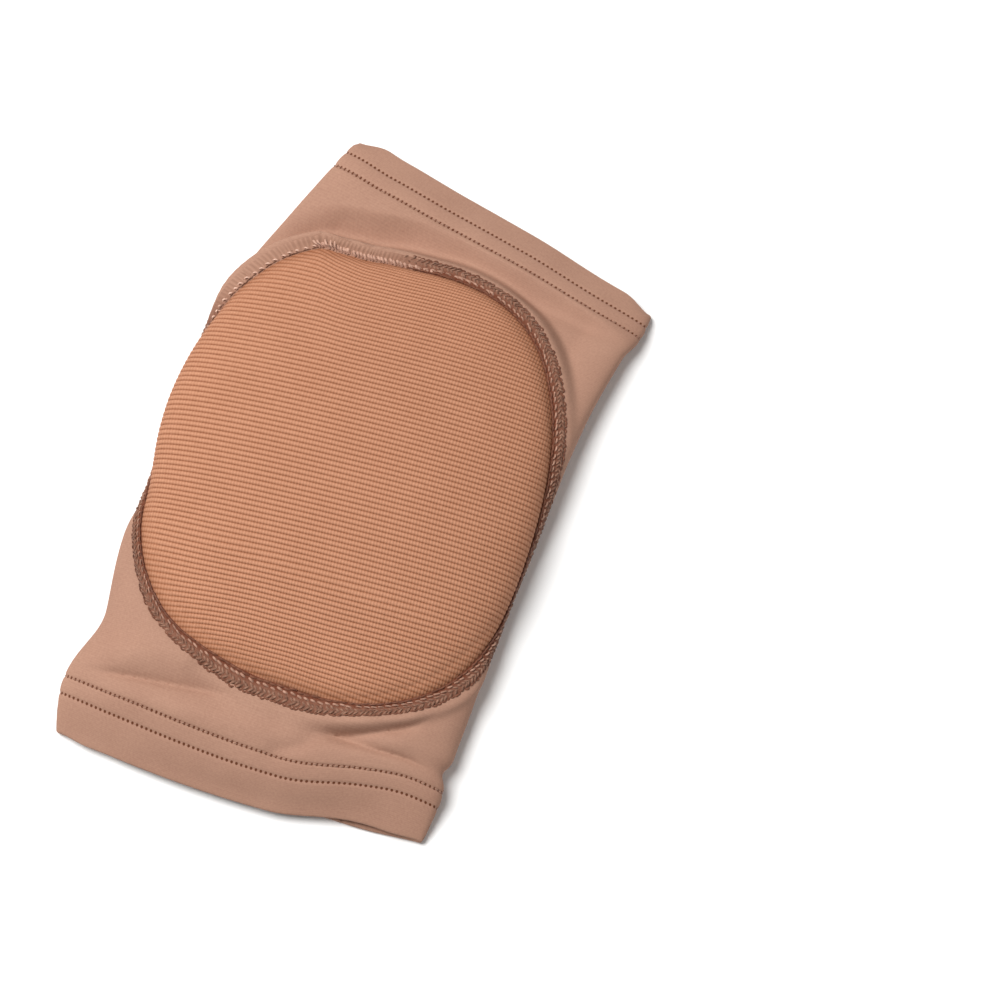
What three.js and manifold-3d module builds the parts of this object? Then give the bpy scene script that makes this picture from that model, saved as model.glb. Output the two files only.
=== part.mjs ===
// Dance knee pad: a tube of stretch knit with an oval ribbed foam pad let into its front.
// It lies pad up, as if set down loosely on a table. Millimetres.
// X runs across the leg, Y along it from the thigh hem to the calf hem, Z up from the table.
import * as THREE from "three";
import { mergeVertices } from "three/addons/utils/BufferGeometryUtils.js";
import Module from "manifold-3d";

const wasm = await Module();
wasm.setup();

// Cloth and clearances
const CLOTH = 1.2;
const GAP = 0.3;
const LIFT = 0.5;
const SIDE_HEIGHT_SHARE = 0.42;
const SIDE_RADIUS = 6;
const ARCH_SQUARENESS = 2.5;

// The tube's sections, from the thigh hem to the calf hem. Each row gives the middle of the
// section (x, y), its turn in degrees, half its width lying down, the height of the front cloth,
// and how far the middle of the front cloth runs on along the leg past the back cloth.
const SECTIONS = [
  { y: -110.1, x: -0.6, turn: 4.1, halfWidth: 63.6, rise: 12, runOn: -5 },
  { y: -91.1, x: -2.1, turn: 3.4, halfWidth: 66.2, rise: 13.5, runOn: -4 },
  { y: -70.1, x: -0.6, turn: 0.4, halfWidth: 63.6, rise: 16.5, runOn: 0 },
  { y: -35.1, x: -1.6, turn: 0, halfWidth: 63.6, rise: 20.5, runOn: 0 },
  { y: 9.9, x: -3.9, turn: 0, halfWidth: 66, rise: 22, runOn: 0 },
  { y: 44.9, x: -2.5, turn: 0, halfWidth: 65.7, rise: 21, runOn: 0 },
  { y: 75.9, x: 3.3, turn: -1.5, halfWidth: 63.5, rise: 18, runOn: 0 },
  { y: 92.9, x: 9.3, turn: -8, halfWidth: 61.2, rise: 15, runOn: 0.8 },
  { y: 106.5, x: 11.5, turn: -9.3, halfWidth: 60, rise: 11.5, runOn: 1 },
];

// The main folds of the front cloth: where each starts and ends, how high it stands
// (a crease is negative) and half its width.
const FOLDS = [
  { from: [-51.1, -90.1], to: [26.9, -86.1], height: 1.6, width: 7 },
  { from: [-63.1, -76.1], to: [-11.1, -82.1], height: -1.8, width: 6 },
  { from: [20.9, -81.1], to: [43.9, -71.1], height: -1.6, width: 3.5 },
  { from: [22.9, -83.1], to: [60.9, -79.1], height: -2.4, width: 5 },
  { from: [-59.1, 69.9], to: [-13.1, 85.9], height: 1.8, width: 5 },
  { from: [-53.1, 83.9], to: [10.9, 94.9], height: -2.2, width: 5 },
];

// The oval pad, laid out on the cloth round its own middle
const PAD_MIDDLE = { round: -1.5, y: 3.1 };
const PAD_TURN = 6.5;
const PAD_HALF_LENGTH = 79;
const PAD_HALF_WIDTH = 67;
const PAD_SQUARENESS = 2.3;
const PAD_EGG = 0.04;
const PAD_CROWN = 8.5;
const PAD_EDGE = 0.8;
const PAD_INSIDE = 2.4;
const RIB_PITCH = 1.85;
const RIB_DEPTH = 0.7;
const PAD_SEAM_WIDTH = 4.8;
const PAD_SEAM_PROUD = 0.9;

// The flat seams on the back and the turned-in hems
const BACK_SEAM_PLACE = 36;
const BACK_SEAM_WIDTH = 6.4;
const HEM_LAYER = 1.0;
const HEM_GAP = 0.65;
const THIGH_HEM = 20.3;
const CALF_HEM = 14.2;

// How finely the pieces are divided
const ARC_STEPS = 40;
const STATIONS = 18;
const FRONT_PLACES = 20;
const OVAL_STEPS = 80;
const PAD_PLACES = 10;
const PAD_UNDER_PLACES = [-1, -0.72, 0, 0.72, 1];

const KNIT = { color: 0xc29a84, roughness: 0.85, metalness: 0 };
const RIB = { color: 0xc28a6c, roughness: 0.9, metalness: 0 };
const THREAD = { color: 0x8e6651, roughness: 0.8, metalness: 0 };

// One column of the section table at any place along the leg, eased so that it never overshoots
function column(y, key) {
  const last = SECTIONS.length - 1;
  const rise = (i) => (SECTIONS[i + 1][key] - SECTIONS[i][key]) / (SECTIONS[i + 1].y - SECTIONS[i].y);
  const slope = (i) => {
    const before = rise(Math.max(i - 1, 0));
    const after = rise(Math.min(i, last - 1));
    return before * after <= 0 ? 0 : (2 * before * after) / (before + after);
  };
  let i = 0;
  while (i < last - 1 && y > SECTIONS[i + 1].y) i += 1;
  const span = SECTIONS[i + 1].y - SECTIONS[i].y;
  const t = (y - SECTIONS[i].y) / span;
  const ease = t * t * (3 - 2 * t);
  const start = SECTIONS[i][key] * (1 - ease) + SECTIONS[i + 1][key] * ease;
  const lean = slope(i) * t * (1 - t) * (1 - t) - slope(i + 1) * t * t * (1 - t);
  return start + lean * span;
}

// Half of a section as a line from the middle of the front, round the side, to the middle of the back
const halfSections = new Map();
function halfSection(y) {
  if (halfSections.has(y)) return halfSections.get(y);
  const halfWidth = column(y, "halfWidth");
  const rise = column(y, "rise");
  const widest = SIDE_HEIGHT_SHARE * rise;
  const line = [];
  for (let i = 0; i <= ARC_STEPS; i += 1) {
    const angle = ((i / ARC_STEPS) * Math.PI) / 2;
    const across = halfWidth * Math.sin(angle) ** (2 / ARCH_SQUARENESS);
    line.push({ across, height: widest + (rise - widest) * Math.cos(angle) ** (2 / ARCH_SQUARENESS) });
  }
  for (let i = 1; i <= ARC_STEPS; i += 1) {
    const angle = ((i / ARC_STEPS) * Math.PI) / 2;
    const across = halfWidth - SIDE_RADIUS * (1 - Math.cos(angle));
    line.push({ across, height: widest - (widest - LIFT) * Math.sin(angle) });
  }
  line.push({ across: 0, height: LIFT });
  line[0].length = 0;
  for (let i = 1; i < line.length; i += 1) {
    const step = Math.hypot(line[i].across - line[i - 1].across, line[i].height - line[i - 1].height);
    line[i].length = line[i - 1].length + step;
  }
  const half = {
    line,
    toSide: line[ARC_STEPS].length,
    toBack: line[2 * ARC_STEPS].length,
    around: line[line.length - 1].length,
    halfWidth,
  };
  halfSections.set(y, half);
  return half;
}

// How far the folds lift the front cloth over a point of the table
function foldHeight(x, y) {
  let height = 0;
  for (const fold of FOLDS) {
    const runX = fold.to[0] - fold.from[0];
    const runY = fold.to[1] - fold.from[1];
    const run = Math.hypot(runX, runY);
    const t = ((x - fold.from[0]) * runX + (y - fold.from[1]) * runY) / (run * run);
    const off = ((x - fold.from[0]) * runY - (y - fold.from[1]) * runX) / run;
    const past = Math.max(0, Math.abs(t - 0.5) - 0.3) * run;
    height += fold.height * Math.exp(-((off / fold.width) ** 2) - (past / (2 * fold.width)) ** 2);
  }
  return height;
}

// A point on the outer face of the cloth: y along the leg and millimetres round from the front's middle
function onCloth(y, round) {
  const half = halfSection(y);
  const side = round < 0 ? -1 : 1;
  const along = Math.min(Math.abs(round), half.around);
  let i = 1;
  while (i < half.line.length - 1 && half.line[i].length < along) i += 1;
  const a = half.line[i - 1];
  const b = half.line[i];
  const t = (along - a.length) / (b.length - a.length);
  const across = side * (a.across + (b.across - a.across) * t);
  const front = Math.max(0, 1 - (along / half.toSide) ** 2);
  const turn = THREE.MathUtils.degToRad(column(y, "turn"));
  const point = new THREE.Vector3();
  point.x = column(y, "x") + across * Math.cos(turn);
  point.y = y + across * Math.sin(turn) + column(y, "runOn") * front;
  point.z = a.height + (b.height - a.height) * t;
  point.z += foldHeight(point.x, point.y) * Math.min(1, 2 * front);
  return point;
}

// The same point moved out of the cloth's outer face, or into the cloth when the distance is negative
function offCloth(y, round, distance) {
  const first = SECTIONS[0].y;
  const last = SECTIONS[SECTIONS.length - 1].y;
  const step = 0.4;
  const alongLeg = onCloth(Math.min(y + step, last), round).sub(onCloth(Math.max(y - step, first), round));
  const roundLeg = onCloth(y, round + step).sub(onCloth(y, round - step));
  const outward = roundLeg.cross(alongLeg).normalize();
  return onCloth(y, round).addScaledVector(outward, distance);
}

// A closed solid from lists of points and triangles
function solid(points, faces) {
  const geometry = new THREE.BufferGeometry();
  geometry.setAttribute("position", new THREE.Float32BufferAttribute(points.flatMap((p) => p.toArray()), 3));
  geometry.setIndex(faces.flat());
  return geometry;
}

// Triangles that close the strip between two rows of point numbers, which may differ in count
function strip(low, high) {
  const faces = [];
  let i = 0;
  let j = 0;
  while (i < low.length - 1 || j < high.length - 1) {
    const stepLow = i < low.length - 1 && (i + 1) / (low.length - 1) <= (j + 1) / Math.max(1, high.length - 1);
    if (stepLow || j === high.length - 1) {
      faces.push([low[i], low[i + 1], high[j]]);
      i += 1;
    } else {
      faces.push([low[i], high[j + 1], high[j]]);
      j += 1;
    }
  }
  return faces;
}

// A wall between an outer and an inner sheet of points, each a list of rows along the leg
function wall(outer, inner, tube) {
  const points = [];
  const number = (sheet) => sheet.map((row) => {
    const ids = row.map((point) => points.push(point) - 1);
    return tube ? [...ids, ids[0]] : ids;
  });
  const out = number(outer);
  const into = number(inner).map((row) => row.reverse());
  const faces = [];
  for (let i = 0; i + 1 < out.length; i += 1) {
    faces.push(...strip(out[i], out[i + 1]), ...strip(into[i], into[i + 1]));
    if (tube) continue;
    const before = [into[i][into[i].length - 1], out[i][0]];
    const beforeNext = [into[i + 1][into[i + 1].length - 1], out[i + 1][0]];
    const after = [out[i][out[i].length - 1], into[i][0]];
    const afterNext = [out[i + 1][out[i + 1].length - 1], into[i + 1][0]];
    faces.push(...strip(before, beforeNext), ...strip(after, afterNext));
  }
  const end = out.length - 1;
  faces.push(...strip([...into[0]].reverse(), out[0]), ...strip(out[end], [...into[end]].reverse()));
  return solid(points, faces);
}

// Even steps from one number to another
function steps(from, to, count) {
  return Array.from({ length: count + 1 }, (_, i) => from + ((to - from) * i) / count);
}

// A piece of cloth: the same stations and places at two depths under the outer face
function cloth(stations, places, top, bottom, tube = false) {
  const sheet = (depth) => stations.map((y) => places(y).map((round) => offCloth(y, round, -depth)));
  return wall(sheet(top), sheet(bottom), tube);
}

const firstY = SECTIONS[0].y;
const lastY = SECTIONS[SECTIONS.length - 1].y;
const thighStations = steps(firstY, firstY + THIGH_HEM, 4);
const calfStations = steps(lastY - CALF_HEM, lastY, 3);
const middleStations = steps(firstY + THIGH_HEM, lastY - CALF_HEM, STATIONS).slice(1, STATIONS);
const stations = [...thighStations, ...middleStations, ...calfStations];

// Millimetres round the cloth to a place on the flat back, this far from the back's middle
const backPlace = (y, across) => halfSection(y).around - across;
const panelEdge = BACK_SEAM_PLACE + BACK_SEAM_WIDTH / 2 + GAP;

// The oval's outline grown by a width, at an angle round it, as a place on the cloth
function ovalPlace(angle, grow) {
  const power = (value) => Math.sign(value) * Math.abs(value) ** (2 / PAD_SQUARENESS);
  const outline = (a) => {
    const along = PAD_HALF_LENGTH * power(Math.sin(a));
    const egg = 1 - (PAD_EGG * along) / PAD_HALF_LENGTH;
    return new THREE.Vector2(PAD_HALF_WIDTH * egg * power(Math.cos(a)), along);
  };
  const step = 0.02;
  const run = outline(angle + step).sub(outline(angle - step)).normalize();
  const place = outline(angle).add(new THREE.Vector2(run.y, -run.x).multiplyScalar(grow));
  return padPlace(place.x, place.y);
}

// A place on the cloth from millimetres across and along the pad
function padPlace(across, along) {
  const turned = new THREE.Vector2(across, along);
  turned.rotateAround(new THREE.Vector2(), THREE.MathUtils.degToRad(PAD_TURN));
  return { round: PAD_MIDDLE.round + turned.x, y: PAD_MIDDLE.y + turned.y };
}

const ovalAngles = steps(0, 2 * Math.PI, OVAL_STEPS).slice(0, OVAL_STEPS);

// Front panel: cloth round the front and sides, with the pad's oval cut out of the front
function frontPlaces(y) {
  const half = halfSection(y);
  const front = steps(-1, 1, FRONT_PLACES).map((t) => half.toSide * (1.4 * t - 0.4 * t ** 3));
  const side = steps(half.toSide, half.toBack, 4).slice(1);
  const back = steps(half.toBack, backPlace(y, panelEdge), 2).slice(1);
  const right = [...side, ...back];
  return [...right.map((round) => -round).reverse(), ...front, ...right];
}

function ovalPlug() {
  const grow = PAD_SEAM_WIDTH + 2.5 * GAP;
  const ring = (distance) => ovalAngles.map((angle) => {
    const place = ovalPlace(angle, grow);
    return offCloth(place.y, place.round, distance);
  });
  const middle = onCloth(PAD_MIDDLE.y, PAD_MIDDLE.round);
  const outside = ring(3);
  const above = outside.map((point) => point.clone().setZ(point.z + 30));
  const points = [...ring(-CLOTH - 0.6), ...outside, ...above];
  const low = points.push(middle.clone().setZ(middle.z - 7)) - 1;
  const high = points.push(middle.clone().setZ(middle.z + 45)) - 1;
  const faces = [];
  for (let i = 0; i < OVAL_STEPS; i += 1) {
    const next = (i + 1) % OVAL_STEPS;
    for (const base of [0, OVAL_STEPS]) {
      const top = base + OVAL_STEPS;
      faces.push([base + i, base + next, top + next], [base + i, top + next, top + i]);
    }
    faces.push([low, next, i], [high, 2 * OVAL_STEPS + i, 2 * OVAL_STEPS + next]);
  }
  return solid(points, faces);
}

function toManifold(geometry) {
  const merged = mergeVertices(geometry, 1e-4);
  return new wasm.Manifold(new wasm.Mesh({
    numProp: 3,
    vertProperties: new Float32Array(merged.attributes.position.array),
    triVerts: new Uint32Array(merged.index.array),
  }));
}

function cut(geometry, tool) {
  const mesh = toManifold(geometry).subtract(toManifold(tool)).getMesh();
  const result = new THREE.BufferGeometry();
  result.setAttribute("position", new THREE.Float32BufferAttribute(mesh.vertProperties, 3));
  result.setIndex(Array.from(mesh.triVerts));
  return result;
}

const frontPanel = cut(cloth(stations, frontPlaces, 0, CLOTH), ovalPlug());

// Back panel: a straight strip of cloth on the table between the two flat seams
const backHalf = BACK_SEAM_PLACE - BACK_SEAM_WIDTH / 2 - GAP;
function backSheet(depth) {
  return stations.map((y) => steps(-backHalf, backHalf, 4).map((across) => {
    const round = backPlace(y, Math.abs(across));
    return offCloth(y, across < 0 ? -round : round, -depth);
  }).reverse());
}
const backPanel = wall(backSheet(0), backSheet(CLOTH), false);

// Flat seams: strips between the panels, standing out of the cloth down to the table
function backSeam(side) {
  const sheet = (distance) => stations.map((y) => {
    const edges = [BACK_SEAM_PLACE + BACK_SEAM_WIDTH / 2, BACK_SEAM_PLACE - BACK_SEAM_WIDTH / 2];
    const row = edges.map((across) => offCloth(y, side * backPlace(y, across), distance));
    return side > 0 ? row : row.reverse();
  });
  return wall(sheet(LIFT), sheet(-CLOTH), false);
}

// Knee pad: rows across the pad, one on every rib and one in every hollow between
function kneePad() {
  const ribs = Math.round((2 * PAD_HALF_LENGTH) / RIB_PITCH);
  const rows = steps(-PAD_HALF_LENGTH, PAD_HALF_LENGTH, 2 * ribs).map((along) => 0.999 * along);
  const halfChord = (along) => {
    const share = Math.abs(along / PAD_HALF_LENGTH) ** PAD_SQUARENESS;
    const egg = 1 - (PAD_EGG * along) / PAD_HALF_LENGTH;
    return PAD_HALF_WIDTH * egg * (1 - share) ** (1 / PAD_SQUARENESS);
  };
  const fullness = (across, along) => {
    const far = Math.hypot(across / PAD_HALF_WIDTH, along / PAD_HALF_LENGTH);
    return Math.max(0, 1 - far ** 2.2) ** 0.8;
  };
  const places = steps(-1, 1, PAD_PLACES).map((t) => 1.3 * t - 0.3 * t ** 3);
  const face = rows.map((along, i) => places.map((t) => {
    const across = t * halfChord(along);
    const place = padPlace(across, along);
    const rib = Math.abs(t) === 1 ? 0 : (i % 2 ? 0.5 : -0.5) * RIB_DEPTH;
    return offCloth(place.y, place.round, PAD_EDGE + PAD_CROWN * fullness(across, along) + rib);
  }));
  const under = rows.map((along) => PAD_UNDER_PLACES.map((t) => {
    const across = t * halfChord(along);
    const place = padPlace(across, along);
    return offCloth(place.y, place.round, -CLOTH - PAD_INSIDE * fullness(across, along));
  }));
  return wall(face, under, false);
}

// Pad seam: a low rounded band all round between the pad and the front panel
function padSeam() {
  const profile = [
    { out: GAP, lift: -CLOTH },
    { out: GAP + PAD_SEAM_WIDTH, lift: -CLOTH },
    { out: GAP + PAD_SEAM_WIDTH, lift: 0.2 },
    { out: GAP + 0.6 * PAD_SEAM_WIDTH, lift: PAD_SEAM_PROUD },
    { out: GAP, lift: PAD_SEAM_PROUD },
  ];
  const points = ovalAngles.flatMap((angle) => profile.map((corner) => {
    const place = ovalPlace(angle, corner.out);
    return offCloth(place.y, place.round, corner.lift);
  }));
  const faces = [];
  const count = profile.length;
  for (let i = 0; i < OVAL_STEPS; i += 1) {
    const here = i * count;
    const next = ((i + 1) % OVAL_STEPS) * count;
    for (let j = 0; j < count; j += 1) {
      const k = (j + 1) % count;
      faces.push([here + j, next + j, next + k], [here + j, next + k, here + k]);
    }
  }
  return solid(points, faces);
}

// Hems: a ring of cloth turned in under the outer layer at each end
function hem(rows) {
  const places = (y) => [...frontPlaces(y), halfSection(y).around];
  return cloth(rows, places, CLOTH + HEM_GAP, CLOTH + HEM_GAP + HEM_LAYER, true);
}

const part = new THREE.Group();
function add(name, geometry, look) {
  const mesh = new THREE.Mesh(geometry, new THREE.MeshStandardMaterial(look));
  mesh.name = name;
  part.add(mesh);
}

add("front_panel", frontPanel, KNIT);
add("back_panel", backPanel, KNIT);
add("knee_pad", kneePad(), RIB);
add("pad_seam", padSeam(), THREAD);
add("left_back_seam", backSeam(-1), THREAD);
add("right_back_seam", backSeam(1), THREAD);
add("thigh_hem", hem(thighStations), KNIT);
add("calf_hem", hem(calfStations), KNIT);

export default part;
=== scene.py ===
import math

import bpy
import numpy as np
from mathutils import Matrix, Vector


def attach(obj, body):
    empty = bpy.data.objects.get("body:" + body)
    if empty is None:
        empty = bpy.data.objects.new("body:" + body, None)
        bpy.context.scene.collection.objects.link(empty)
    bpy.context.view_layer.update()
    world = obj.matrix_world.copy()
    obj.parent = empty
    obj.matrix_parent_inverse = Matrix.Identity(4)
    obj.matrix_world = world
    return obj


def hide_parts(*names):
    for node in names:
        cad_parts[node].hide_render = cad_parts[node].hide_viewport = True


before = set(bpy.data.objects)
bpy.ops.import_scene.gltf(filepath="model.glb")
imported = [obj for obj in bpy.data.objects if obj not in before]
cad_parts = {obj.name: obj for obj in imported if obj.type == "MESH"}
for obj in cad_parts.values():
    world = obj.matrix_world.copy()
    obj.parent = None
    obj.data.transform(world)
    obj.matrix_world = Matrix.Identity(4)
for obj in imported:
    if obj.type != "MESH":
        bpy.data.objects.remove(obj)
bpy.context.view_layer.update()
bpy.ops.object.select_all(action="DESELECT")

# Front panel: smooth nylon and elastane knit, cut in one piece to wrap the front and both sides of
# the leg, with an oval left out for the pad. The empty tube has sunk flat on the table, so the cloth
# buckles into soft folds between the pad's seam and the hems. Its ends are turned in at the hems.
MM = 0.001
CLOTH_THICKNESS = 0.8

# A section of the tube, in millimetres: a low arch in front, rounded sides and a flat back just above
# the table
TABLE_GAP = 0.5
SIDE_HEIGHT_SHARE = 0.42
SIDE_RADIUS = 6.0
ARCH_SQUARENESS = 2.5
ARC_STEPS = 120

# The slack tube in sections from the thigh hem to the calf hem, in millimetres and degrees: the
# section's middle, its turn, half its width lying down, and how far the front cloth runs on past the
# back cloth along the leg. The front cloth's height follows more closely, as it falls to the hems.
SECTION_COLUMNS = ("y", "x", "turn", "half_width", "run_on")
SECTION_ROWS = np.array((
    (-110.1, -0.6, 4.1, 63.6, -5.0),
    (-91.1, -2.1, 3.4, 66.2, -4.0),
    (-70.1, -0.6, 0.4, 63.6, 0.0),
    (-35.1, -1.6, 0.0, 63.6, 0.0),
    (9.9, -3.9, 0.0, 66.0, 0.0),
    (44.9, -2.5, 0.0, 65.7, 0.0),
    (75.9, 3.3, -1.5, 63.5, 0.0),
    (92.9, 9.3, -8.0, 61.2, 0.8),
    (106.5, 11.8, -9.3, 59.2, 1.0),
))
SECTIONS = dict(zip(SECTION_COLUMNS, SECTION_ROWS.T))
FIRST_Y = SECTIONS["y"][0]
LAST_Y = SECTIONS["y"][-1]
RISE = np.array((
    (-110.1, 4.7), (-106, 7.0), (-100, 10.5), (-94, 13.8), (-89, 16.1), (-85.5, 16.7), (-80, 15.8),
    (-70.1, 15.0), (-35.1, 20.5), (9.9, 22.0), (44.9, 21.0), (75.9, 18.0), (84, 15.4), (90, 13.4),
    (95, 11.2), (100, 8.5), (106.5, 4.8),
))

# Where the sides are drawn in, or stand out where the depth is negative: which side, the place along
# the leg, the depth and half the length of it
PINCHES = ((1, -84.0, 2.2, 4.0), (-1, -74.0, 1.0, 9.0), (-1, -46.0, -3.0, 17.0))

# The folds of the front cloth, as lines on it in millimetres round the leg and along it: start, bend
# and end, how high the fold stands (a crease is negative), its reach to the left and right of the line,
# and its profile, 2 for a soft roll and nearer 1 for a crease. Each tapers off at both ends.
FOLD_COLUMNS = ("start", "bend", "end", "height", "left", "right", "profile")
FOLDS = [dict(zip(FOLD_COLUMNS, row)) for row in (
    ((-66, -88.4), (-36, -83.0), (-6, -79.8), -2.2, 1.8, 1.1, 1.1),
    ((-58, -91.6), (-28, -88.6), (14, -85.4), 1.0, 3.0, 4.5, 2),
    ((16, -79.6), (40, -84.2), (74, -86.6), -2.1, 2.0, 1.4, 1.3),
    ((12, -81.6), (41, -84), (56, -61), -3.0, 1.2, 2.6, 1.1),
    ((4, -92), (14, -88), (24, -82), -1.2, 3.0, 3.0, 1.6),
    ((-78, -79), (-56, -81), (-34, -78), 1.1, 4.0, 4.0, 2),
    ((56, -60), (65, -72), (70, -83), 1.8, 6.0, 6.0, 2),
    ((-30, -76), (-22, -77), (-12, -76), -0.8, 3.0, 3.0, 2),
    ((-72, -44), (-64, -62), (-46, -74), 1.6, 5.0, 7.0, 2),
)]
FOLD_STEPS = 64
FOLD_TAPER = 0.35
FOLD_ROUNDING = 0.25

# The step down from the cloth round the pad to the stiff thigh hem: its run, how soft its foot and how
# round its top is, where it fades, and by millimetres round the place along the leg of the crease at
# its foot and its height
STEP_RUN = 8.0
STEP_FOOT = 0.005
STEP_CROWN = 1.6
STEP_FADES = (-72, -40)
THIGH_STEP = np.array((
    (-140, -89, 0), (-84, -89, 0.3), (-66, -87.8, 1.8), (-48, -85.6, 2.8), (-34, -83.4, 3.0),
    (-17, -80.8, 2.6), (-2, -79.8, 1.9), (10, -80.2, 1.8), (21, -81, 2.5), (34, -83.2, 3.0),
    (47, -85.4, 2.8), (56, -86, 2.4), (70, -87, 1.5), (85, -88, 0.3), (140, -88, 0),
))

# The valley between the pad and the stiff calf hem: its run and how hollow it is, where it sets in from
# the pad's edge and along the leg, and by millimetres round the place along the leg of the ridge beside
# the hem and the valley's depth
VALLEY_RUN = 10.0
VALLEY_HOLLOW = 1.15
VALLEY_FROM_PAD = (4.6, 9.8)
VALLEY_ALONG_LEG = (30, 60)
CALF_VALLEY = np.array((
    (-140, 81, 0), (-76, 81, 1), (-68, 82.5, 5), (-62, 83, 8.5), (-52, 84.4, 10.3), (-44, 86, 10.3),
    (-35, 87.6, 10.3), (-27, 89.4, 10), (-20, 90.4, 9), (0, 91, 8), (30, 91, 6), (60, 88, 3),
    (75, 86, 0), (140, 86, 0),
))

# How far the cloth sags towards the thigh's mouth by millimetres round, the share of it at the very
# edge, and where it grows and fades from the edge on. At the left the edge itself is drawn up.
THIGH_SAG = np.array((
    (-140, 0), (-70, 0.3), (-48, 0.4), (-20, 1.3), (0, 2.0), (18, 2.2), (40, 1.4), (58, -0.3), (140, 0),
))
SAG_AT_EDGE = 0.15
SAG_GROWS = (2, 14)
SAG_FADES = (24, 38)
DRAWN_UP_RUN = 10
DRAWN_UP_ENDS = (15, 45)

# How far the calf hem bulges by millimetres round, and how far from its edge the bulge sets in
CALF_BULGE = np.array((
    (-140, 4.9), (-66, 4.8), (-60, 4.5), (-54, 4.0), (-48, 3.2), (-42, 2.5), (-36, 2.2), (-28, 1.7),
    (-18, 1.2), (-8, 1.0), (20, 0.6), (60, 0), (140, 0),
))
CALF_BULGE_RUN = (30, 12)

# How far the hems' edges draw in at the corners, and over what length
THIGH_CORNER = 1.2
CALF_CORNER = 3.0
CORNER_RUN = 6

# Where round the leg these set in and end, in shares of the way from the front's middle to the side
CORNER_SHARES = (0.8, 1, 1, 1.35)
PINCH_SHARES = (0.5, 1, 1.1, 1.5)
OVERHANG_SHARES = (0.55, 0.95, 1.0, 1.3)
BULGE_ENDS = (1.0, 1.3)
RUN_ON_ENDS = (0.2, 0.75)
RUN_ON_LOSS = 1.5

# The pad's oval, laid out on the cloth: its middle, turn, half sizes, squareness and egg shape, and the
# least distance from its middle to its outline
PAD_MIDDLE_ROUND = -1.5
PAD_MIDDLE_Y = 3.1
PAD_TURN = math.radians(6.5)
PAD_HALF_LENGTH = 79.0
PAD_HALF_WIDTH = 67.0
PAD_SQUARENESS = 2.3
PAD_EGG = 0.04
PAD_LEAST_REACH = 40

# By degrees round the pad from its right side: how far out the sewn edge strays from the cut oval, and
# how high the cloth stands up in a lip along the seam and how far out
SEAM_STRAY = np.array((
    (0, 0.8), (20, 0), (40, -1.6), (60, -3.4), (80, -5.2), (93, -6.0), (105, -5.2), (114, -1.6),
    (121, 2.6), (128, 3.1), (138, 2.1), (150, 1.6), (180, 1.7), (192, 0.6), (200, -0.3),
    (208, -0.4), (216, 0.6), (224, 1.2), (232, 0.3), (240, -1.2), (250, -2.2),
    (262, -2.2), (276, -0.9), (291, 0.6), (310, 1.1), (327, 0.7), (345, 0.8), (360, 0.8),
))
SEAM_LIP = np.array((
    (0, 0.6, 6.0), (70, 0.8, 5.6), (88, 1.2, 5.2), (102, 2.8, 4.6), (115, 3.6, 4.8), (130, 3.8, 5.2),
    (148, 3.2, 5.2), (165, 1.0, 5.5), (200, 0.5, 6.0), (240, 0.7, 6.0), (270, 0.9, 6.0),
    (295, 1.8, 6.2), (312, 1.8, 6.2), (330, 0.6, 6.0), (360, 0.6, 6.0),
))
LIP_WIDTH = 2.2
LIP_OVERHANG = 0.75


def smooth(value, low, high):
    """A soft step from 0 at low to 1 at high."""
    t = np.clip((value - low) / (high - low), 0, 1)
    return t * t * (3 - 2 * t)


def swell(value, start, full, fading, gone):
    """A soft rise from 0 at start to 1 at full, and a soft fall from fading to gone."""
    return smooth(value, start, full) * (1 - smooth(value, fading, gone))


def eased(knots, values, place):
    """A smooth line through values at knots, which never overshoots them."""
    rise = np.diff(values) / np.diff(knots)
    before = np.append(rise[:1], rise)
    after = np.append(rise, rise[-1:])
    same_way = before * after > 0
    slope = np.where(same_way, 2 * before * after / np.where(same_way, before + after, 1), 0)
    i = np.clip(np.searchsorted(knots, place) - 1, 0, len(knots) - 2)
    span = knots[i + 1] - knots[i]
    t = (place - knots[i]) / span
    ease = t * t * (3 - 2 * t)
    lean = slope[i] * t * (1 - t) ** 2 - slope[i + 1] * t * t * (1 - t)
    return values[i] * (1 - ease) + values[i + 1] * ease + lean * span


def along_leg(name, y):
    return eased(SECTIONS["y"], SECTIONS[name], y)


def front_rise(y):
    return eased(*RISE.T, y)


def pad_to_cloth(across, along):
    around = PAD_MIDDLE_ROUND + across * math.cos(PAD_TURN) - along * math.sin(PAD_TURN)
    y = PAD_MIDDLE_Y + across * math.sin(PAD_TURN) + along * math.cos(PAD_TURN)
    return around, y


def cloth_to_pad(around, y):
    right, up = around - PAD_MIDDLE_ROUND, y - PAD_MIDDLE_Y
    across = right * math.cos(PAD_TURN) + up * math.sin(PAD_TURN)
    along = up * math.cos(PAD_TURN) - right * math.sin(PAD_TURN)
    return across, along


def oval_reach(across, along):
    """How far out a place lies in the cut oval: 0 in the middle and 1 on the outline."""
    wide = PAD_HALF_WIDTH * (1 - PAD_EGG * along / PAD_HALF_LENGTH)
    power = PAD_SQUARENESS
    return (np.abs(across / wide) ** power + np.abs(along / PAD_HALF_LENGTH) ** power) ** (1 / power)


def oval_degrees(across, along):
    return np.degrees(np.arctan2(along / PAD_HALF_LENGTH, across / PAD_HALF_WIDTH)) % 360


def oval_out(across, along):
    """Millimetres out from the sewn edge, and the sewn edge's distance from the middle."""
    far = np.hypot(across, along)
    cut_edge = np.maximum(far / np.maximum(oval_reach(across, along), 1e-6), PAD_LEAST_REACH)
    sewn_edge = cut_edge + eased(*SEAM_STRAY.T, oval_degrees(across, along))
    return far - sewn_edge, sewn_edge


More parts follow.
